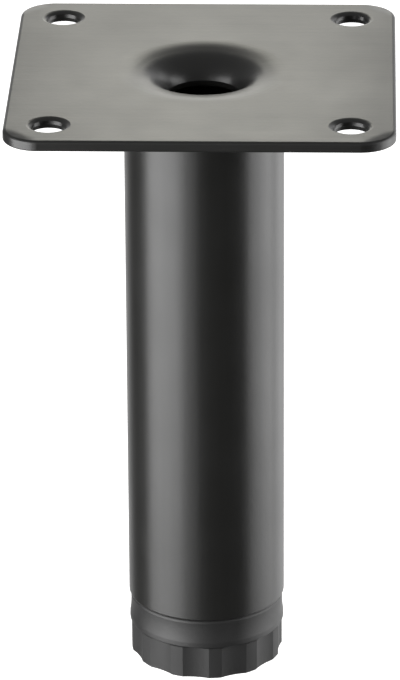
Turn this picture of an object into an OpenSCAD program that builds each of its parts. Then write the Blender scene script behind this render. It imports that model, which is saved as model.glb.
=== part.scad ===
// Adjustable furniture leg: a stamped mounting plate, a round tube and a fluted screw foot.
// Millimetres. The origin is on the floor under the middle of the foot, and +Z is up.

/* [Overall] */
// Height from the floor to the top of the plate, with the foot screwed right in
total_h = 120; // [90:1:300]

/* [Mounting plate] */
// Side of the square plate
plate_w = 71.5; // [68:0.5:90]
// Thickness of the steel sheet
plate_t = 2; // [1.7:0.1:3]
// Radius of the plate's corners
plate_corner_r = 6.5; // [4:0.5:9]
// Rounding along the plate's upper edge, where the blanking punch drew the sheet in
plate_top_r = 0.6; // [0.3:0.05:0.8]
// Rounding along the plate's lower edge
plate_low_r = 0.3; // [0.2:0.05:0.5]

/* [Screw holes] */
// Distance from a side of the plate to the middle of a hole
hole_inset = 8.25; // [7:0.25:12]
// Diameter of a hole at its straight land
screw_hole_d = 6.2; // [4.5:0.1:7]
// Width of the drawn-in rim round a hole
rim_w = 1; // [0.6:0.05:1.3]
// Depth that the rim is drawn in
rim_depth = 0.5; // [0.3:0.05:0.7]
// Height of the straight land below the rim
land_h = 0.7; // [0.4:0.05:0.9]
// How far the hole flares below the land, where the punch broke through
breakout_w = 0.25; // [0.1:0.05:0.4]

/* [Dimple] */
// Diameter of the hole at the bottom of the dimple
dimple_hole_d = 13.4; // [11:0.2:16]
// Depth from the plate's top to the edge of that hole
dimple_depth = 4.6; // [3.5:0.1:6]
// Height of the straight wall in the dimple's hole
dimple_land_h = 1; // [0.6:0.1:1.6]
// Thickness of the ring at the dimple's lower end
lip_t = 1.7; // [1.2:0.1:2.2]

/* [Tube] */
// Outer diameter of the tube
tube_d = 30; // [27:0.5:36]
// Wall of the tube
tube_wall = 1.5; // [1:0.1:1.8]
// Rounding at the tube's lower end
tube_edge = 0.35; // [0.1:0.05:0.5]

/* [Insert] */
// Height of the collar that shows between the tube and the foot
collar_h = 5.85; // [4.5:0.05:8]
// How far the collar's upper edge lies inside the tube's outside
collar_top_inset = 0.3; // [0.1:0.05:0.5]
// How far the collar's lower edge lies inside the tube's outside
collar_low_inset = 0.12; // [0:0.02:0.4]
// How far the collar's waist is drawn in between its two edges
collar_waist = 0.12; // [0:0.02:0.3]
// Rounding of the collar's upper edge
collar_round = 0.7; // [0.4:0.05:0.9]
// Rounding of the collar's lower edge
collar_edge = 0.2; // [0.1:0.05:0.4]
// Length of the plug inside the tube
plug_h = 24; // [20:1:40]
// Height of the gripping fins round the plug
fin_h = 1.8; // [1.2:0.1:2]
// Gap between a fin's tip and the tube's bore
fin_clear = 0.03; // [0.02:0.01:0.1]
// Number of fins
fin_count = 5; // [3:1:6]
// Wall left round the cored pockets under the plug
core_wall = 1.8; // [1.5:0.1:2.2]
// Thickness of the webs between the pockets
web_t = 1.6; // [1.2:0.1:2.4]
// Number of webs
web_count = 6; // [4:1:8]
// Gap round the spindle where it passes through the plastic
bore_clear = 0.3; // [0.2:0.05:0.5]

/* [Nut and spindle] */
// Outer diameter of the thread
thread_d = 10; // [8:0.5:11]
// Pitch of the thread
thread_pitch = 1.5; // [1:0.25:2]
// Whole turns that the foot can be screwed out
thread_turns = 10; // [4:1:12]
// Running clearance round the spindle, all ways
run_clear = 0.05; // [0.02:0.01:0.1]
// Width of the nut across its flats
nut_af = 16; // [15:0.5:17]
// Height of the nut
nut_h = 8.4; // [6:0.2:10]
// Chamfer of the nut's corners
nut_chamfer = 0.6; // [0.3:0.1:0.9]
// How deep the nut sits below the top of the plug
nut_recess = 0.5; // [0:0.1:1]
// Diameter of the spindle's round head
head_d = 17; // [15:0.5:19]
// Height of the spindle's head
head_h = 2.4; // [2:0.1:2.6]
// Chamfer at the spindle's upper end
spindle_chamfer = 1; // [0.5:0.1:1.5]
// Thread that still stands above the nut with the foot right out
spindle_spare = 0.5; // [0:0.5:5]

/* [Foot] */
// Height of the foot
foot_h = 6.6; // [5.8:0.1:9]
// Gap between the foot and the collar above it
foot_gap = 0.15; // [0.15:0.05:0.6]
// How far the foot's ribs lie inside the tube's outside
foot_inset = 0.4; // [0.2:0.05:1]
// Number of flutes
flute_count = 12; // [8:1:16]
// Radius of a flute's hollow
flute_r = 12; // [9:0.5:16]
// Depth of a flute in its middle
flute_depth = 0.5; // [0.3:0.05:0.8]
// Turn of the first rib from the front, in degrees
flute_turn = 8; // [0:1:30]
// Chamfer along the foot's lower edge
foot_chamfer = 0.35; // [0.2:0.05:0.5]
// Broken edge along the foot's upper edge
foot_edge = 0.15; // [0.1:0.05:0.3]
// Plastic under the spindle's head
sole_t = 1.5; // [1.2:0.1:1.7]

/* [Hidden] */
$fn = 96;

// Length that a cutting tool runs past the face it cuts
overrun = 1;
// How far the dimple's hole flares below its straight wall, and over what height
lip_breakout_w = 0.3;
lip_breakout_h = 0.3;
// Gap between the dimple's underside and the tube's bore
dimple_clear = 0.3;
// Chamfer of the spindle's head
head_chamfer = 0.3;
// Height of a fin's root and of its tip
fin_root = 2.2;
fin_tip = 0.8;
// Plastic left between the pockets and the nut
pocket_roof = 2;
// Slope in degrees at the mouth of the dimple's underside and of a hole's rim
under_slope = 5;
rim_slope = 4;
// Slope in degrees at the dimple's mouth, where its two arcs meet, and at its hole
mouth_slope = 0.2;
blend_slope = 12;
throat_slope = 68;
// Radius of the dimple's inner arc, as a share of the dimple's depth
throat_share = 1.52;
// Height of the collar's full width above its lower edge, as a share of the collar's height
collar_bulge_share = 0.18;
// Width of the tool that cuts a flute as a share of the flute's own
flute_angle_share = 1.25;
// Flat steps in a small rounded edge and in the collar's waist
round_steps = 6;
bow_steps = 8;
// Sides of the plate and of the nut
sides = 4;
hex_sides = 6;

plate_z1 = total_h;
plate_z0 = plate_z1 - plate_t;
collar_z0 = foot_h + foot_gap;
tube_z0 = collar_z0 + collar_h;
tube_r = tube_d / 2;
bore_r = tube_r - tube_wall;
plug_z1 = tube_z0 + plug_h;
core_r = bore_r - fin_h;
thread_r = thread_d / 2;
nut_z1 = plug_z1 - nut_recess;
nut_z0 = nut_z1 - nut_h;
nut_corner_r = nut_af / 2 / cos(180 / hex_sides);
travel = thread_pitch * thread_turns;
spindle_z1 = nut_z1 + travel + spindle_spare;
head_r = head_d / 2;
head_z0 = sole_t;
head_z1 = head_z0 + head_h;
foot_r = tube_r - foot_inset;
screw_r = screw_hole_d / 2;
hole_at = plate_w / 2 - hole_inset;
dimple_r = dimple_hole_d / 2;
lip_h = dimple_land_h + lip_breakout_h;
throat_r = throat_share * dimple_depth;
blend_z = throat_r * (cos(blend_slope) - cos(throat_slope)) - dimple_depth;
blend_r = dimple_r + throat_r * (sin(throat_slope) - sin(blend_slope));
shoulder_r = -blend_z / (cos(mouth_slope) - cos(blend_slope));
mouth_r = blend_r + shoulder_r * (sin(blend_slope) - sin(mouth_slope));
flute_dist = foot_r - flute_depth + flute_r;

// Points along an arc
function arc(centre, r, from, to) =
    [for (i = [0 : round_steps]) let (a = from + (to - from) * i / round_steps)
        centre + r * [cos(a), sin(a)]];

// Points along a shallow bow from a to just short of b, its middle drawn in by the depth given
function bow(a, b, depth) =
    let (across = [a[1] - b[1], b[0] - a[0]] / norm(b - a))
    [for (i = [0 : bow_steps - 1]) let (t = i / bow_steps)
        a + t * (b - a) + 4 * depth * t * (1 - t) * across];

// Half the angle that an arc from a down to b spans, if it leaves a at the slope given
function half_span(a, b, slope) = atan((a[1] - b[1]) / (a[0] - b[0])) - slope;

// Radius and centre of that arc, which bulges up and in
function arc_r(a, b, slope) = norm(b - a) / 2 / sin(half_span(a, b, slope));
function arc_centre(a, b, slope) =
    (a + b) / 2 + [a[1] - b[1], b[0] - a[0]] / 2 / tan(half_span(a, b, slope));

// Half section of a punched hole for cutting: a straight land, and the flare below it
module punched_section(edge, land, out_w, bottom) {
    polygon([
        [0, edge[1]],
        edge,
        [edge[0], edge[1] - land],
        [edge[0] + out_w, bottom],
        [edge[0] + out_w, bottom - overrun],
        [0, bottom - overrun]
    ]);
}

// Half section of a screw hole, its rim drawn down from height zero
module screw_hole_section() {
    mouth = [screw_r + rim_w, 0];
    edge = [screw_r, -rim_depth];
    difference() {
        translate([0, edge[1]])
            square([mouth[0], overrun - edge[1]]);
        translate(arc_centre(mouth, edge, rim_slope))
            circle(arc_r(mouth, edge, rim_slope));
    }
    punched_section(edge, land_h, breakout_w, -plate_t);
}

// Half section of the dimple and its hole: a wide shoulder arc that runs into a tighter throat
module dimple_section() {
    edge = [dimple_r, -dimple_depth];
    difference() {
        translate([0, edge[1]])
            square([mouth_r, overrun - edge[1]]);
        translate(edge + throat_r * [sin(throat_slope), -cos(throat_slope)])
            circle(throat_r);
        intersection() {
            translate([mouth_r, 0] + shoulder_r * [sin(mouth_slope), -cos(mouth_slope)])
                circle(shoulder_r);
            translate([blend_r, edge[1] - overrun])
                square([mouth_r, dimple_depth + 2 * overrun]);
        }
    }
    punched_section(edge, dimple_land_h, lip_breakout_w, -dimple_depth - lip_h);
}

// Section of what rounding an edge to a radius takes away
module edge_section(r) {
    polygon(concat(
        arc([0, 0], r, 0, 90),
        [[0, r + overrun],
         [r + overrun, r + overrun],
         [r + overrun, 0]]));
}

// What rounding takes away all round the plate, with the rounding's centre at height zero
module edge_ring(r) {
    straight = plate_w - 2 * plate_corner_r;
    for (i = [0 : sides - 1])
        rotate(i * 360 / sides) {
            translate([plate_w / 2 - r, 0, 0])
                rotate([90, 0, 0])
                    linear_extrude(height = straight, center = true)
                        edge_section(r);
            translate([straight / 2, straight / 2, 0])
                rotate_extrude(angle = 360 / sides)
                    translate([plate_corner_r - r, 0])
                        edge_section(r);
        }
}

module plate_outline() {
    inner = plate_w - 2 * plate_corner_r;
    square([plate_w, inner], center = true);
    square([inner, plate_w], center = true);
    for (x = [-1, 1], y = [-1, 1])
        translate([x * inner / 2, y * inner / 2])
            circle(plate_corner_r);
}

// Half section of the steel that the dimple pushes down below the sheet
module lip_section() {
    mouth = [bore_r - dimple_clear, -plate_t];
    low = [dimple_r + lip_t, -dimple_depth - lip_h];
    difference() {
        translate([0, low[1]])
            square([mouth[0], mouth[1] - low[1] + plate_t / 2]);
        translate(arc_centre(mouth, low, under_slope))
            circle(arc_r(mouth, low, under_slope));
    }
    translate([0, mouth[1]])
        square([mouth[0], plate_t / 2]);
}

// The stamped plate: one sheet with a drawn dimple and four holes with drawn-in rims
module mounting_plate() {
    color("#2a2a29")
    difference() {
        union() {
            translate([0, 0, plate_z0])
                linear_extrude(height = plate_t)
                    plate_outline();
            translate([0, 0, plate_z1])
                rotate_extrude()
                    lip_section();
        }
        translate([0, 0, plate_z1])
            rotate_extrude()
                dimple_section();
        for (x = [-1, 1], y = [-1, 1])
            translate([x * hole_at, y * hole_at, plate_z1])
                rotate_extrude()
                    screw_hole_section();
        translate([0, 0, plate_z1 - plate_top_r])
            edge_ring(plate_top_r);
        translate([0, 0, plate_z0 + plate_low_r])
            mirror([0, 0, 1])
                edge_ring(plate_low_r);
    }
}

// The round tube, cut square at the top and with its outer edge rounded at the bottom
module tube() {
    color("#242424")
    rotate_extrude()
        polygon(concat(
            [[bore_r, tube_z0]],
            arc([tube_r - tube_edge, tube_z0 + tube_edge], tube_edge, -90, 0),
            [[tube_r, plate_z0],
             [bore_r, plate_z0]]));
}

// Half section of the insert: the collar, and the plug with its gripping fins
module insert_section() {
    collar_top_r = tube_r - collar_top_inset;
    collar_low_r = tube_r - collar_low_inset;
    fin_step = (plug_h - fin_root) / fin_count;
    polygon(concat(
        [[thread_r + bore_clear, collar_z0]],
        arc([collar_low_r - collar_edge, collar_z0 + collar_edge], collar_edge, -90, 0),
        bow([collar_low_r, collar_z0 + collar_bulge_share * collar_h],
            [collar_top_r, tube_z0 - collar_round], collar_waist),
        arc([collar_top_r - collar_round, tube_z0 - collar_round], collar_round, 0, 90),
        [[core_r, tube_z0],
         [core_r, plug_z1 - fin_h / 2],
         [core_r - fin_h / 2, plug_z1],
         [thread_r + bore_clear, plug_z1]]));
    for (i = [0 : fin_count - 1])
        translate([core_r, tube_z0 + i * fin_step + fin_step / 2])
            polygon([
                [-fin_clear, 0],
                [fin_h - fin_clear, 0],
                [fin_h - fin_clear, fin_tip],
                [-fin_clear, fin_root]
            ]);
}

// The plastic insert: collar, finned plug, hexagon seat for the nut and cored pockets below
module insert() {
    pocket_r0 = thread_r + bore_clear + core_wall;
    pocket_r1 = core_r - core_wall;
    pocket_h = nut_z0 - pocket_roof - collar_z0;
    color("#202020")
    difference() {
        rotate_extrude()
            insert_section();
        translate([0, 0, nut_z0])
            hexagon(nut_h + nut_recess + overrun);
        translate([0, 0, collar_z0 - overrun])
            difference() {
                cylinder(r = pocket_r1, h = pocket_h + overrun);
                translate([0, 0, -overrun])
                    cylinder(r = pocket_r0, h = pocket_h + 3 * overrun);
                for (i = [0 : web_count - 1])
                    rotate(i * 360 / web_count)
                        translate([0, -web_t / 2, -overrun])
                            cube([pocket_r1 + overrun, web_t, pocket_h + 3 * overrun]);
            }
    }
}

module hexagon(h) {
    cylinder(r = nut_corner_r, h = h, $fn = hex_sides);
}

// The steel nut, its corners chamfered at both ends
module nut() {
    color("#b9bcbe")
    translate([0, 0, nut_z0])
        intersection() {
            hexagon(nut_h);
            rotate_extrude()
                polygon([
                    [thread_r + run_clear, 0],
                    [nut_corner_r - nut_chamfer, 0],
                    [nut_corner_r + nut_chamfer, nut_chamfer],
                    [nut_corner_r + nut_chamfer, nut_h - nut_chamfer],
                    [nut_corner_r - nut_chamfer, nut_h],
                    [thread_r + run_clear, nut_h]
                ]);
        }
}

// The spindle: a threaded stud on a round head, with the thread left plain at its outer size
module spindle() {
    color("#b9bcbe")
    rotate_extrude()
        polygon([
            [0, head_z0],
            [head_r - head_chamfer, head_z0],
            [head_r, head_z0 + head_chamfer],
            [head_r, head_z1 - head_chamfer],
            [head_r - head_chamfer, head_z1],
            [thread_r, head_z1],
            [thread_r, spindle_z1 - spindle_chamfer],
            [thread_r - spindle_chamfer, spindle_z1],
            [0, spindle_z1]
        ]);
}

// What one flute takes away: a sector just wide enough to clear the rim on both sides, flared
// where it meets the foot's chamfered edges
module flute() {
    rim_angle = acos((pow(flute_dist, 2) + pow(flute_r, 2) - pow(foot_r, 2)) / (2 * flute_dist * flute_r));
    half_angle = flute_angle_share * rim_angle;
    back_r = flute_r - flute_depth - overrun;
    rotate(180 - half_angle)
        rotate_extrude(angle = 2 * half_angle)
            polygon([
                [back_r, -overrun],
                [flute_r + foot_chamfer, -overrun],
                [flute_r + foot_chamfer, 0],
                [flute_r, foot_chamfer],
                [flute_r, foot_h - foot_edge],
                [flute_r + foot_edge, foot_h],
                [flute_r + foot_edge, foot_h + overrun],
                [back_r, foot_h + overrun]
            ]);
}

// The fluted foot, moulded round the spindle's head
module foot() {
    color("#2b2b2b")
    difference() {
        rotate_extrude()
            polygon([
                [0, 0],
                [foot_r - foot_chamfer, 0],
                [foot_r, foot_chamfer],
                [foot_r, foot_h - foot_edge],
                [foot_r - foot_edge, foot_h],
                [thread_r + run_clear, foot_h],
                [thread_r + run_clear, head_z1 + run_clear],
                [head_r + run_clear, head_z1 + run_clear],
                [head_r + run_clear, head_z0 - run_clear],
                [0, head_z0 - run_clear]
            ]);
        for (i = [0 : flute_count - 1])
            rotate(-90 + flute_turn + (i + 1 / 2) * 360 / flute_count)
                translate([flute_dist, 0, 0])
                    flute();
    }
}

mounting_plate();
tube();
insert();
nut();
spindle();
foot();
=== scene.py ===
"""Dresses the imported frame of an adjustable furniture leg: the finish of each piece, the
spindle's thread, and a studio."""
import math

import bmesh
import bpy
from mathutils import Matrix, Vector


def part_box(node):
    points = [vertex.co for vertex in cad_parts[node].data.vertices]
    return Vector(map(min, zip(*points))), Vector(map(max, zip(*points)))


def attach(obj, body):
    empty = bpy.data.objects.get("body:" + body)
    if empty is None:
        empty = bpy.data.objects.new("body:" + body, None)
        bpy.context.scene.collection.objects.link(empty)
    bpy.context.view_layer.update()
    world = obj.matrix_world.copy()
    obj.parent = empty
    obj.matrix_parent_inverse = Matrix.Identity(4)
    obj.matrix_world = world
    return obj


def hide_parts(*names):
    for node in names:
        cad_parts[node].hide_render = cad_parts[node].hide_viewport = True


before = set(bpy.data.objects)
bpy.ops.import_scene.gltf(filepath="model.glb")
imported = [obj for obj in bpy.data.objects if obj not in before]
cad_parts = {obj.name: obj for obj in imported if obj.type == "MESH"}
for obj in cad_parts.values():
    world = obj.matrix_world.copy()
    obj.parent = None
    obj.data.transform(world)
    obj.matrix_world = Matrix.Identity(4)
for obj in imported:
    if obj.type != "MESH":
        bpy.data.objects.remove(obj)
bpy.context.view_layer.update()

bl_info = {
    "name": "Adjustable Furniture Leg",
    "version": (1, 0, 0),
    "blender": (4, 5, 0),
    "location": "View3D > Sidebar > Furniture Leg",
    "description": "Finishes an adjustable steel furniture leg and sets up a studio for it",
    "category": "Object",
}

MM = 0.001
WHITE = (1.0, 1.0, 1.0, 1.0)


# Colours and nodes

def linear(hex_colour):
    """Turns an sRGB hex colour such as #1c1c1b into linear RGBA."""
    shares = [int(hex_colour[i:i + 2], 16) / 255 for i in (1, 3, 5)]
    levels = [c / 12.92 if c <= 0.04045 else ((c + 0.055) / 1.055) ** 2.4 for c in shares]
    return (*levels, 1.0)


def add_node(tree, kind, inputs=None, links=None, **settings):
    """Adds one node, sets its properties and sockets, and links outputs into it."""
    made = tree.nodes.new(kind)
    for name, value in settings.items():
        setattr(made, name, value)
    for name, value in (inputs or {}).items():
        made.inputs[name].default_value = value
    for name, source in (links or {}).items():
        tree.links.new(source, made.inputs[name])
    return made


def empty_tree(owner):
    """The node tree of a material or world, with nothing in it."""
    owner.use_nodes = True
    owner.node_tree.nodes.clear()
    return owner.node_tree


def new_material(name):
    """A fresh node material, with its tree and the object's own coordinates."""
    material = bpy.data.materials.new(name)
    tree = empty_tree(material)
    return material, tree, add_node(tree, "ShaderNodeTexCoord").outputs["Object"]


def size_scale(*sizes_mm):
    """Texture scale at which one cell of a noise is as big as the sizes given, in millimetres."""
    scales = [1 / (size * MM) for size in sizes_mm]
    return scales[0] if len(scales) == 1 else tuple(scales)


# Materials

# Places on the mounting plate that repeat the solid's own: the centres of its round corners, from
# its middle on both axes, and the ring where the dimple's shoulder meets its throat
CORNER_AT = 29.25 * MM
DIMPLE_RING = 11.73 * MM


def corner_roll(tree, flat, corner_at, inner, outer, depth):
    """Bump of the sheet's roll at its four corners, where the blanking punch draws it down most,
    so that a soft dark line turns round each front corner. It runs from the inner to the outer
    distance from the corner's centre. Takes the coordinates with Z set to zero."""
    folded = add_node(tree, "ShaderNodeVectorMath", operation="ABSOLUTE", links={0: flat})
    past = add_node(tree, "ShaderNodeVectorMath", operation="SUBTRACT",
                    links={0: folded.outputs["Vector"]}, inputs={1: (corner_at, corner_at, 0)})
    beyond = add_node(tree, "ShaderNodeVectorMath", operation="MAXIMUM",
                      links={0: past.outputs["Vector"]}, inputs={1: (0, 0, 0)}).outputs["Vector"]
    away = add_node(tree, "ShaderNodeVectorMath", operation="LENGTH", links={0: beyond})
    roll = add_node(tree, "ShaderNodeMapRange", interpolation_type="SMOOTHSTEP",
                    links={"Value": away.outputs["Value"]},
                    inputs={"From Min": inner, "From Max": outer})
    # The roll fades out along the straight edges on either side
    sides = add_node(tree, "ShaderNodeSeparateXYZ", links={0: beyond})
    nearer = add_node(tree, "ShaderNodeMath", operation="MINIMUM",
                      links={0: sides.outputs["X"], 1: sides.outputs["Y"]})
    in_corner = add_node(tree, "ShaderNodeMapRange", interpolation_type="SMOOTHSTEP",
                         links={"Value": nearer.outputs[0]},
                         inputs={"From Min": 0.0, "From Max": inner})
    fall = add_node(tree, "ShaderNodeMath", operation="MULTIPLY",
                    links={0: roll.outputs["Result"], 1: in_corner.outputs["Result"]})
    return add_node(tree, "ShaderNodeBump", invert=True, links={"Height": fall.outputs[0]},
                    inputs={"Strength": 1.0, "Distance": depth}).outputs["Normal"]


def drawn_in(tree, flat, normal, ring, inner, outer, depth):
    """Bump of the sheet's slow fall towards a drawn dimple on the Z axis, down to the ring where
    the throat begins, so that the dimple's dark begins softly. The fall runs inwards from the outer
    radius and stops at the ring, before the inner one. Takes the coordinates with Z set to zero."""
    away = add_node(tree, "ShaderNodeVectorMath", operation="LENGTH", links={0: flat})
    beyond = add_node(tree, "ShaderNodeMath", operation="MAXIMUM",
                      links={0: away.outputs["Value"]}, inputs={1: ring})
    fall = add_node(tree, "ShaderNodeMapRange", interpolation_type="SMOOTHSTEP",
                    links={"Value": beyond.outputs[0]},
                    inputs={"From Min": inner, "From Max": outer, "To Min": 0.0, "To Max": depth})
    return add_node(tree, "ShaderNodeBump",
                    links={"Height": fall.outputs["Result"], "Normal": normal},
                    inputs={"Strength": 1.0, "Distance": 1.0}).outputs["Normal"]


def pressed_sheet(tree, coords):
    """The mounting plate's soft pressed relief: its rolled corners and the dimple's shoulder."""
    flat = add_node(tree, "ShaderNodeVectorMath", operation="MULTIPLY", links={0: coords},
                    inputs={1: (1, 1, 0)}).outputs["Vector"]
    normal = corner_roll(tree, flat, corner_at=CORNER_AT,
                         inner=3.6 * MM, outer=7.6 * MM, depth=0.34 * MM)
    return drawn_in(tree, flat, normal, ring=DIMPLE_RING,
                    inner=9.5 * MM, outer=16.5 * MM, depth=0.45 * MM)


def coat_over_drawn_steel(name, colour, lines_mm, relief=None):
    """Black electrophoretic coat on cold-rolled steel: thin, even and satin, so that the sheet's
    fine drawing lines still show through it as faint streaks, over a very slight orange peel."""
    material, tree, coords = new_material(name)
    stretched = add_node(tree, "ShaderNodeMapping", links={"Vector": coords},
                         inputs={"Scale": size_scale(*lines_mm)})
    lines = add_node(tree, "ShaderNodeTexNoise", links={"Vector": stretched.outputs["Vector"]},
                     inputs={"Scale": 1.0, "Detail": 3.0, "Roughness": 0.6})
    peel = add_node(tree, "ShaderNodeTexNoise", links={"Vector": coords},
                    inputs={"Scale": size_scale(1.1), "Detail": 2.0, "Roughness": 0.5})
    clouds = add_node(tree, "ShaderNodeTexNoise", links={"Vector": coords},
                      inputs={"Scale": size_scale(14.0), "Detail": 3.0, "Roughness": 0.55})
    # The coat is a little duller where it lies thicker, and along the drawing lines
    patches = add_node(tree, "ShaderNodeMapRange", links={"Value": clouds.outputs["Fac"]},
                       inputs={"From Min": 0.3, "From Max": 0.7,
                               "To Min": -0.025, "To Max": 0.025})
    duller = add_node(tree, "ShaderNodeMapRange", links={"Value": lines.outputs["Fac"]},
                      inputs={"From Min": 0.25, "From Max": 0.75, "To Min": 0.3, "To Max": 0.34})
    roughness = add_node(tree, "ShaderNodeMath", operation="ADD",
                         links={0: patches.outputs["Result"], 1: duller.outputs["Result"]})
    tint = add_node(tree, "ShaderNodeMix", data_type="RGBA",
                    links={"Factor": clouds.outputs["Fac"]},
                    inputs={"A": linear(colour), "B": linear("#1b1b1a")})
    line_bump = add_node(tree, "ShaderNodeBump", links={"Height": lines.outputs["Fac"]},
                         inputs={"Strength": 0.25, "Distance": 0.02 * MM})
    if relief:
        tree.links.new(relief(tree, coords), line_bump.inputs["Normal"])
    peel_bump = add_node(tree, "ShaderNodeBump",
                         links={"Height": peel.outputs["Fac"],
                                "Normal": line_bump.outputs["Normal"]},
                         inputs={"Strength": 0.5, "Distance": 0.02 * MM})
    shader = add_node(tree, "ShaderNodeBsdfPrincipled",
                      inputs={"Metallic": 0.0, "IOR": 1.5},
                      links={"Base Color": tint.outputs["Result"],
                             "Roughness": roughness.outputs[0],
                             "Normal": peel_bump.outputs["Normal"]})
    add_node(tree, "ShaderNodeOutputMaterial", links={"Surface": shader.outputs[0]})
    return material


def moulded_polypropylene(name, colour, roughness, grain_mm):
    """Black polypropylene as it leaves an eroded mould: a fine even grain, and slow flow marks
    that are a little duller or brighter."""
    material, tree, coords = new_material(name)
    grain = add_node(tree, "ShaderNodeTexNoise", links={"Vector": coords},
                     inputs={"Scale": size_scale(grain_mm), "Detail": 2.0, "Roughness": 0.6})
    flow = add_node(tree, "ShaderNodeTexNoise", links={"Vector": coords},
                    inputs={"Scale": size_scale(7.0), "Detail": 2.0, "Distortion": 0.8})
    dull = add_node(tree, "ShaderNodeMapRange", links={"Value": flow.outputs["Fac"]},
                    inputs={"From Min": 0.3, "From Max": 0.7,
                            "To Min": roughness - 0.04, "To Max": roughness + 0.04})
    tint = add_node(tree, "ShaderNodeMix", data_type="RGBA",
                    links={"Factor": flow.outputs["Fac"]},
                    inputs={"A": linear(colour), "B": linear("#212121")})
    bump = add_node(tree, "ShaderNodeBump", links={"Height": grain.outputs["Fac"]},
                    inputs={"Strength": 0.6, "Distance": 0.03 * MM})
    shader = add_node(tree, "ShaderNodeBsdfPrincipled",
                      inputs={"Metallic": 0.0, "IOR": 1.49},
                      links={"Base Color": tint.outputs["Result"],
                             "Roughness": dull.outputs["Result"],
                             "Normal": bump.outputs["Normal"]})
    add_node(tree, "ShaderNodeOutputMaterial", links={"Surface": shader.outputs[0]})
    return material


def zinc_plated_steel(name):
    """Bright zinc plate on cold-formed steel: bluish white, a little cloudy and finely pitted."""
    material, tree, coords = new_material(name)
    clouds = add_node(tree, "ShaderNodeTexNoise", links={"Vector": coords},
                      inputs={"Scale": size_scale(3.0), "Detail": 4.0, "Roughness": 0.6})
    pits = add_node(tree, "ShaderNodeTexNoise", links={"Vector": coords},
                    inputs={"Scale": size_scale(0.25), "Detail": 2.0})
    tint = add_node(tree, "ShaderNodeMix", data_type="RGBA",
                    links={"Factor": clouds.outputs["Fac"]},
                    inputs={"A": linear("#bfc3c6"), "B": linear("#d8dadb")})
    dull = add_node(tree, "ShaderNodeMapRange", links={"Value": clouds.outputs["Fac"]},
                    inputs={"From Min": 0.3, "From Max": 0.7, "To Min": 0.22, "To Max": 0.36})
    bump = add_node(tree, "ShaderNodeBump", links={"Height": pits.outputs["Fac"]},
                    inputs={"Strength": 0.3, "Distance": 0.01 * MM})
    shader = add_node(tree, "ShaderNodeBsdfPrincipled", inputs={"Metallic": 1.0},
                      links={"Base Color": tint.outputs["Result"],
                             "Roughness": dull.outputs["Result"],
                             "Normal": bump.outputs["Normal"]})
    add_node(tree, "ShaderNodeOutputMaterial", links={"Surface": shader.outputs[0]})
    return material


def dress(node_name, material):
    """Gives a CAD node its finish, and leaves its mesh alone."""
    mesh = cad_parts[node_name].data
    mesh.materials.clear()
    mesh.materials.append(material)


# Modelling with the edit tools

def start_shape(name):
    """Takes up the primitive just added: names it, and puts its place into its mesh."""
    shape = bpy.context.active_object
    shape.name = name
    bpy.ops.object.transform_apply(location=True, rotation=True, scale=True)
    return shape


def select_faces(shape, wanted):
    """Selects, in edit mode, just the faces that the test accepts."""
    bpy.ops.mesh.select_mode(type="FACE")
    mesh = bmesh.from_edit_mesh(shape.data)
    for face in mesh.faces:
        face.select = wanted(face)
    mesh.select_flush_mode()
    bmesh.update_edit_mesh(shape.data)


def apply_modifier(shape, kind, **settings):
    """Adds a modifier, sets it and applies it."""
    bpy.context.view_layer.objects.active = shape
    made = shape.modifiers.new(kind.lower(), kind)
    for name, value in settings.items():
        setattr(made, name, value)
    bpy.ops.object.modifier_apply(modifier=made.name)


def combine(shape, other, operation):
    """Joins or intersects one closed shape with another, which is used up."""
    apply_modifier(shape, "BOOLEAN", object=other, operation=operation, solver="EXACT")
    bpy.data.objects.remove(other, do_unlink=True)


def smooth_by_angle(shape, degrees):
    """Shades smooth, and keeps the edges sharp that turn by more than the angle."""
    bpy.ops.object.select_all(action="DESELECT")
    shape.select_set(True)
    bpy.context.view_layer.objects.active = shape
    bpy.ops.object.shade_smooth_by_angle(angle=math.radians(degrees))


# The spindle. Its head's height and chamfer repeat the solid's own
HEAD_H = 2.4 * MM
HEAD_CHAMFER = 0.3 * MM
# The stud's point is chamfered from this far outside the thread to as far inside it
POINT_CHAMFER = 1.0 * MM
# Straight steps in one turn of the thread and round the stud
THREAD_STEPS = 36
# Shares of the pitch in a metric outer thread: its depth, and the flat along its crest
THREAD_DEPTH_SHARE = 0.6134
CREST_FLAT_SHARE = 0.125
# Slope of the thread's flanks in degrees, half of its sixty-degree angle
FLANK_ANGLE = 30
# Turns that the thread starts below the stud, and turns more than the stud has, all cut off
TURNS_BELOW = 1.5
TURNS_MORE = 2
# Points of one turn and the next that are closer than this are merged
MERGE_DISTANCE = 0.001 * MM
# The edges of the spindle that turn by more degrees than this stay sharp
SHARP_ANGLE = 32
# A face is an end of a round where its normal has more than this share of its length upright
END_UPRIGHT = 0.9


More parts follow.
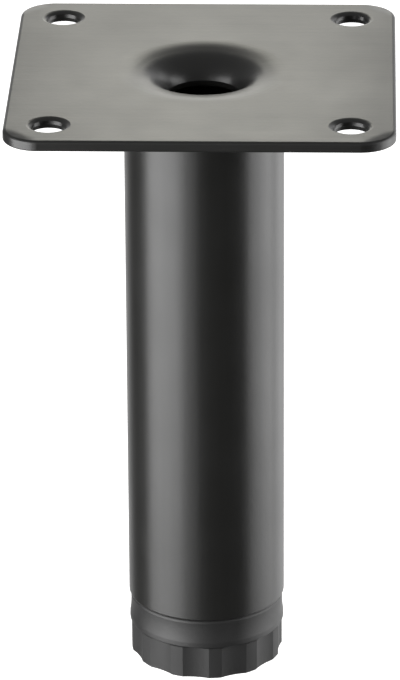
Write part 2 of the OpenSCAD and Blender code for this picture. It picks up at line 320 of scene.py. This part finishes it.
def threaded_stud(name, crest_r, pitch):
    """A stud with a sixty-degree thread along its whole length, cut square at both ends."""
    low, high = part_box("spindle")
    start = low[2] + HEAD_H / 2
    turns = math.ceil((high[2] - start) / pitch) + TURNS_MORE
    depth = THREAD_DEPTH_SHARE * pitch
    crest = CREST_FLAT_SHARE * pitch
    flank = depth * math.tan(math.radians(FLANK_ANGLE))
    root = pitch - crest - 2 * flank
    bpy.ops.object.select_all(action="DESELECT")
    bpy.ops.mesh.primitive_plane_add(size=pitch,
                                     location=(crest_r, 0, start - TURNS_BELOW * pitch))
    stud = start_shape(name)
    bpy.ops.object.mode_set(mode="EDIT")
    # One pitch of the thread's profile, drawn out from a single point
    bpy.ops.mesh.merge(type="CENTER")
    for across, up in ((0, crest), (-depth, flank), (0, root), (depth, flank)):
        bpy.ops.mesh.extrude_vertices_move(TRANSFORM_OT_translate={"value": (across, 0, up)})
    bpy.ops.object.mode_set(mode="OBJECT")
    apply_modifier(stud, "SCREW", axis="Z", angle=math.radians(360), iterations=turns,
                   screw_offset=pitch, steps=THREAD_STEPS, render_steps=THREAD_STEPS)
    bpy.ops.object.mode_set(mode="EDIT")
    bpy.ops.mesh.select_all(action="SELECT")
    bpy.ops.mesh.remove_doubles(threshold=MERGE_DISTANCE)
    for height, up in ((start, -1), (high[2], 1)):
        bpy.ops.mesh.select_all(action="SELECT")
        bpy.ops.mesh.bisect(plane_co=(0, 0, height), plane_no=(0, 0, up),
                            use_fill=True, clear_outer=True)
    bpy.ops.mesh.select_all(action="SELECT")
    bpy.ops.mesh.normals_make_consistent(inside=False)
    bpy.ops.object.mode_set(mode="OBJECT")
    return stud


def chamfered_round(name, radius, bottom, top, chamfer, both_ends):
    """A turned round with a chamfer at its top, and at its bottom too where that is asked for."""
    bpy.ops.object.select_all(action="DESELECT")
    bpy.ops.mesh.primitive_cylinder_add(vertices=THREAD_STEPS, radius=radius, depth=top - bottom,
                                        location=(0, 0, (top + bottom) / 2))
    piece = start_shape(name)
    bpy.ops.object.mode_set(mode="EDIT")
    select_faces(piece, lambda face: (face.normal.z > END_UPRIGHT
                                      or both_ends and face.normal.z < -END_UPRIGHT))
    bpy.ops.mesh.bevel(offset=chamfer, segments=1, affect="EDGES")
    bpy.ops.object.mode_set(mode="OBJECT")
    return piece


# Studio

# The white backdrop that reflections show: where its middle stands, and how many degrees from
# there it begins to fade and has gone
BACKDROP_AZIMUTH = 160
BACKDROP_ELEVATION = -25
BACKDROP_FADES = 36
BACKDROP_ENDS = 66
# The level of the dim room, low down and high up, and the heights in the direction of sight
# between which it changes
ROOM_LOW = 0.03
ROOM_HIGH = 0.3
ROOM_LOW_Z = -0.2
ROOM_HIGH_Z = 0.3
# The floor's radius, how far it lies below the part, its grey, and the light of its own that
# makes it white
FLOOR_RADIUS = 3.0
FLOOR_DROP = 15.2 * MM
FLOOR_GREY = (0.8, 0.8, 0.8, 1.0)
FLOOR_LIFT = 0.85
# Half the leg's height, which the soft boxes face
LAMP_AIM = (0, 0, 60 * MM)
# Each soft box: its name, azimuth and elevation in degrees, distance, width and height in metres,
# the radiance of its face, and its colour
SOFT_BOXES = (
    ("left_softbox", -60, -1, 0.9, 0.96, 1.02, 6.2, "#ffffff"),
    ("left_fill", -22, -1, 0.9, 0.32, 1.02, 1.7, "#ffffff"),
    ("right_softbox", 90, 0.5, 0.9, 0.76, 1.02, 3.6, "#ffffff"),
    ("right_fill", 130, 0.5, 0.9, 0.58, 1.02, 0.9, "#ffffff"),
    ("rear_softbox", 182, 36, 0.34, 0.1, 0.093, 2.97, "#fffdf0"),
    ("rear_fill", 182, 17, 0.3, 0.12, 0.08, 1.2, "#fffdf0"),
)
# The camera, as fitted to the leg's edges in the photograph: its sensor and focal length in
# millimetres, its place, the point that it faces, and its roll in degrees
CAMERA_SENSOR = 36.0
CAMERA_LENS = 289.0537
CAMERA_SEAT = (0.0283594, -0.9482976, 0.4882005)
CAMERA_FACES = (-0.0009965, -0.0000298, 0.0650581)
CAMERA_ROLL = -0.358461
# The nearest and farthest that the camera sees, in metres
CAMERA_NEAR = 0.05
CAMERA_FAR = 20.0


def make_floor():
    """A pale floor that the camera sees white, apart from the object's soft shadow on it. It lies
    where the fully extended foot would stand, and is clear from below, to show the underside."""
    bpy.ops.object.select_all(action="DESELECT")
    bpy.ops.mesh.primitive_circle_add(vertices=96, radius=FLOOR_RADIUS, fill_type="NGON",
                                      location=(0, 0, -FLOOR_DROP))
    floor = bpy.context.active_object
    floor.name = "floor"
    material = bpy.data.materials.new("pale_floor")
    tree = empty_tree(material)
    lit = add_node(tree, "ShaderNodeBsdfDiffuse", inputs={"Color": FLOOR_GREY})
    lift = add_node(tree, "ShaderNodeEmission", inputs={"Color": WHITE, "Strength": FLOOR_LIFT})
    both = add_node(tree, "ShaderNodeAddShader", links={0: lit.outputs[0], 1: lift.outputs[0]})
    below = add_node(tree, "ShaderNodeNewGeometry").outputs["Backfacing"]
    clear = add_node(tree, "ShaderNodeBsdfTransparent")
    seen = add_node(tree, "ShaderNodeMixShader",
                    links={0: below, 1: both.outputs[0], 2: clear.outputs[0]})
    add_node(tree, "ShaderNodeOutputMaterial", links={"Surface": seen.outputs[0]})
    floor.data.materials.append(material)
    # Only the camera sees it: the leg's reflections show the backdrop and the room instead
    floor.visible_diffuse = False
    floor.visible_glossy = False
    floor.visible_transmission = False
    floor.visible_shadow = False


def make_world():
    """White all round to the camera. Reflections show the same white where the backdrop stands,
    behind the leg and to its right, and the dim room elsewhere."""
    world = bpy.data.worlds.new("studio")
    bpy.context.scene.world = world
    tree = empty_tree(world)
    direction = add_node(tree, "ShaderNodeTexCoord").outputs["Generated"]
    facing = add_node(tree, "ShaderNodeVectorMath", operation="DOT_PRODUCT", links={0: direction},
                      inputs={1: towards(BACKDROP_AZIMUTH, BACKDROP_ELEVATION)})
    backdrop = add_node(tree, "ShaderNodeMapRange", interpolation_type="SMOOTHSTEP",
                        links={"Value": facing.outputs["Value"]},
                        inputs={"From Min": math.cos(math.radians(BACKDROP_ENDS)),
                                "From Max": math.cos(math.radians(BACKDROP_FADES))})
    path = add_node(tree, "ShaderNodeLightPath")
    mirrored = add_node(tree, "ShaderNodeMath", operation="MAXIMUM",
                        links={0: path.outputs["Is Glossy Ray"],
                               1: path.outputs["Is Transmission Ray"]})
    in_backdrop = add_node(tree, "ShaderNodeMath", operation="MULTIPLY",
                           links={0: mirrored.outputs[0], 1: backdrop.outputs["Result"]})
    white = add_node(tree, "ShaderNodeMath", operation="MAXIMUM",
                     links={0: path.outputs["Is Camera Ray"], 1: in_backdrop.outputs[0]})
    height = add_node(tree, "ShaderNodeSeparateXYZ", links={"Vector": direction})
    room = add_node(tree, "ShaderNodeMapRange", links={"Value": height.outputs["Z"]},
                    inputs={"From Min": ROOM_LOW_Z, "From Max": ROOM_HIGH_Z,
                            "To Min": ROOM_LOW, "To Max": ROOM_HIGH})
    strength = add_node(tree, "ShaderNodeMapRange",
                        links={"Value": white.outputs[0], "To Min": room.outputs["Result"]},
                        inputs={"To Max": 1.0})
    background = add_node(tree, "ShaderNodeBackground", inputs={"Color": WHITE},
                          links={"Strength": strength.outputs["Result"]})
    add_node(tree, "ShaderNodeOutputWorld", links={"Surface": background.outputs[0]})


def towards(azimuth, elevation):
    """Unit vector to a place in the studio. Azimuth 0 is the camera's side, and 90 the right."""
    a, e = math.radians(azimuth), math.radians(elevation)
    return Vector((math.sin(a) * math.cos(e), -math.cos(a) * math.cos(e), math.sin(e)))


def make_lamp(name, azimuth, elevation, distance, width, height, glow, colour):
    """A soft box that faces the leg from the place given."""
    away = towards(azimuth, elevation)
    data = bpy.data.lights.new(name, "AREA")
    data.shape = "RECTANGLE"
    data.size = width
    data.size_y = height
    data.color = linear(colour)[:3]
    # Power at which the face of the box has the radiance asked for
    data.energy = glow * math.pi * width * height
    lamp = bpy.data.objects.new(name, data)
    bpy.context.scene.collection.objects.link(lamp)
    lamp.location = Vector(LAMP_AIM) + away * distance
    lamp.rotation_mode = "QUATERNION"
    lamp.rotation_quaternion = away.to_track_quat("Z", "Y")
    lamp.visible_camera = False


def make_camera():
    """The photograph's own view: from just right of the front, looking down at the plate."""
    data = bpy.data.cameras.new("camera")
    data.sensor_width = CAMERA_SENSOR
    data.lens = CAMERA_LENS
    data.clip_start = CAMERA_NEAR
    data.clip_end = CAMERA_FAR
    camera = bpy.data.objects.new("camera", data)
    bpy.context.scene.collection.objects.link(camera)
    seat = Vector(CAMERA_SEAT)
    forward = (Vector(CAMERA_FACES) - seat).normalized()
    right = forward.cross(Vector((0, 0, 1))).normalized()
    up = right.cross(forward)
    roll = math.radians(CAMERA_ROLL)
    x_axis = math.cos(roll) * right + math.sin(roll) * up
    y_axis = -math.sin(roll) * right + math.cos(roll) * up
    camera.matrix_world = Matrix((
        (x_axis.x, y_axis.x, -forward.x, seat.x),
        (x_axis.y, y_axis.y, -forward.y, seat.y),
        (x_axis.z, y_axis.z, -forward.z, seat.z),
        (0, 0, 0, 1),
    ))
    bpy.context.scene.camera = camera


# Settings

class FurnitureLegSettings(bpy.types.PropertyGroup):
    """Colours and sizes that a user may change."""
    steel_colour: bpy.props.StringProperty(
        name="Steel Coat", description="sRGB hex colour of the coat on the plate and tube",
        default="#1a1a19")
    plastic_colour: bpy.props.StringProperty(
        name="Plastic", description="sRGB hex colour of the insert and foot", default="#1c1c1c")
    thread_diameter: bpy.props.FloatProperty(
        name="Thread Diameter", description="Outer diameter of the spindle's thread",
        default=10 * MM, min=6 * MM, max=12 * MM, subtype="DISTANCE", unit="LENGTH")
    thread_pitch: bpy.props.FloatProperty(
        name="Thread Pitch", description="How far the spindle moves in one turn",
        default=1.5 * MM, min=0.75 * MM, max=2 * MM, subtype="DISTANCE", unit="LENGTH")


# Operators

class LEG_OT_steel_finish(bpy.types.Operator):
    """Coat the mounting plate and the tube"""
    bl_idname = "leg.steel_finish"
    bl_label = "Coat the Steel"

    def execute(self, context):
        colour = context.scene.furniture_leg.steel_colour
        # Streaks lie along the sheet's width on the plate, and along the tube's length
        dress("mounting_plate", coat_over_drawn_steel(
            "black_coat_on_sheet", colour, lines_mm=(45, 0.7, 0.7), relief=pressed_sheet))
        dress("tube", coat_over_drawn_steel(
            "black_coat_on_tube", colour, lines_mm=(0.8, 0.8, 60)))
        return {"FINISHED"}


class LEG_OT_plastic_finish(bpy.types.Operator):
    """Finish the moulded insert and foot"""
    bl_idname = "leg.plastic_finish"
    bl_label = "Finish the Mouldings"

    def execute(self, context):
        colour = context.scene.furniture_leg.plastic_colour
        dress("insert", moulded_polypropylene(
            "insert_polypropylene", colour, roughness=0.47, grain_mm=0.35))
        dress("foot", moulded_polypropylene(
            "foot_polypropylene", colour, roughness=0.6, grain_mm=0.28))
        return {"FINISHED"}


class LEG_OT_spindle(bpy.types.Operator):
    """Model the spindle with its thread, in place of the plain one"""
    bl_idname = "leg.spindle"
    bl_label = "Thread the Spindle"

    def execute(self, context):
        settings = context.scene.furniture_leg
        dress("nut", zinc_plated_steel("zinc_on_nut"))
        zinc = zinc_plated_steel("zinc_on_spindle")
        dress("spindle", zinc)
        low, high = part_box("spindle")
        crest_r = settings.thread_diameter / 2
        spindle = threaded_stud("threaded_spindle", crest_r, settings.thread_pitch)
        # The point: a round wider than the thread, chamfered down to where the thread runs out
        combine(spindle, chamfered_round("point", crest_r + POINT_CHAMFER, low[2], high[2],
                                         2 * POINT_CHAMFER, both_ends=False), "INTERSECT")
        combine(spindle, chamfered_round("head", high[0], low[2], low[2] + HEAD_H,
                                         HEAD_CHAMFER, both_ends=True), "UNION")
        smooth_by_angle(spindle, SHARP_ANGLE)
        spindle.data.materials.clear()
        spindle.data.materials.append(zinc)
        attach(spindle, "spindle")
        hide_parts("spindle")
        return {"FINISHED"}


class LEG_OT_studio(bpy.types.Operator):
    """Set the floor, the soft lamps and the camera"""
    bl_idname = "leg.studio"
    bl_label = "Set the Studio"

    def execute(self, context):
        make_floor()
        make_world()
        for soft_box in SOFT_BOXES:
            make_lamp(*soft_box)
        make_camera()
        return {"FINISHED"}


# Panel and registration

class LEG_PT_panel(bpy.types.Panel):
    """Lists the leg's settings and steps"""
    bl_label = "Furniture Leg"
    bl_idname = "LEG_PT_panel"
    bl_space_type = "VIEW_3D"
    bl_region_type = "UI"
    bl_category = "Furniture Leg"

    def draw(self, context):
        settings = context.scene.furniture_leg
        for name in ("steel_colour", "plastic_colour", "thread_diameter", "thread_pitch"):
            self.layout.prop(settings, name)
        for step in STEPS:
            self.layout.operator(step.bl_idname)


STEPS = (LEG_OT_steel_finish, LEG_OT_plastic_finish, LEG_OT_spindle, LEG_OT_studio)
CLASSES = (FurnitureLegSettings,) + STEPS + (LEG_PT_panel,)


def register():
    for cls in CLASSES:
        bpy.utils.register_class(cls)
    bpy.types.Scene.furniture_leg = bpy.props.PointerProperty(type=FurnitureLegSettings)


def unregister():
    del bpy.types.Scene.furniture_leg
    for cls in reversed(CLASSES):
        bpy.utils.unregister_class(cls)


def main():
    register()
    bpy.context.scene.view_settings.view_transform = "Standard"
    bpy.ops.leg.steel_finish()
    bpy.ops.leg.plastic_finish()
    bpy.ops.leg.spindle()
    bpy.ops.leg.studio()


if __name__ == "__main__":
    main()
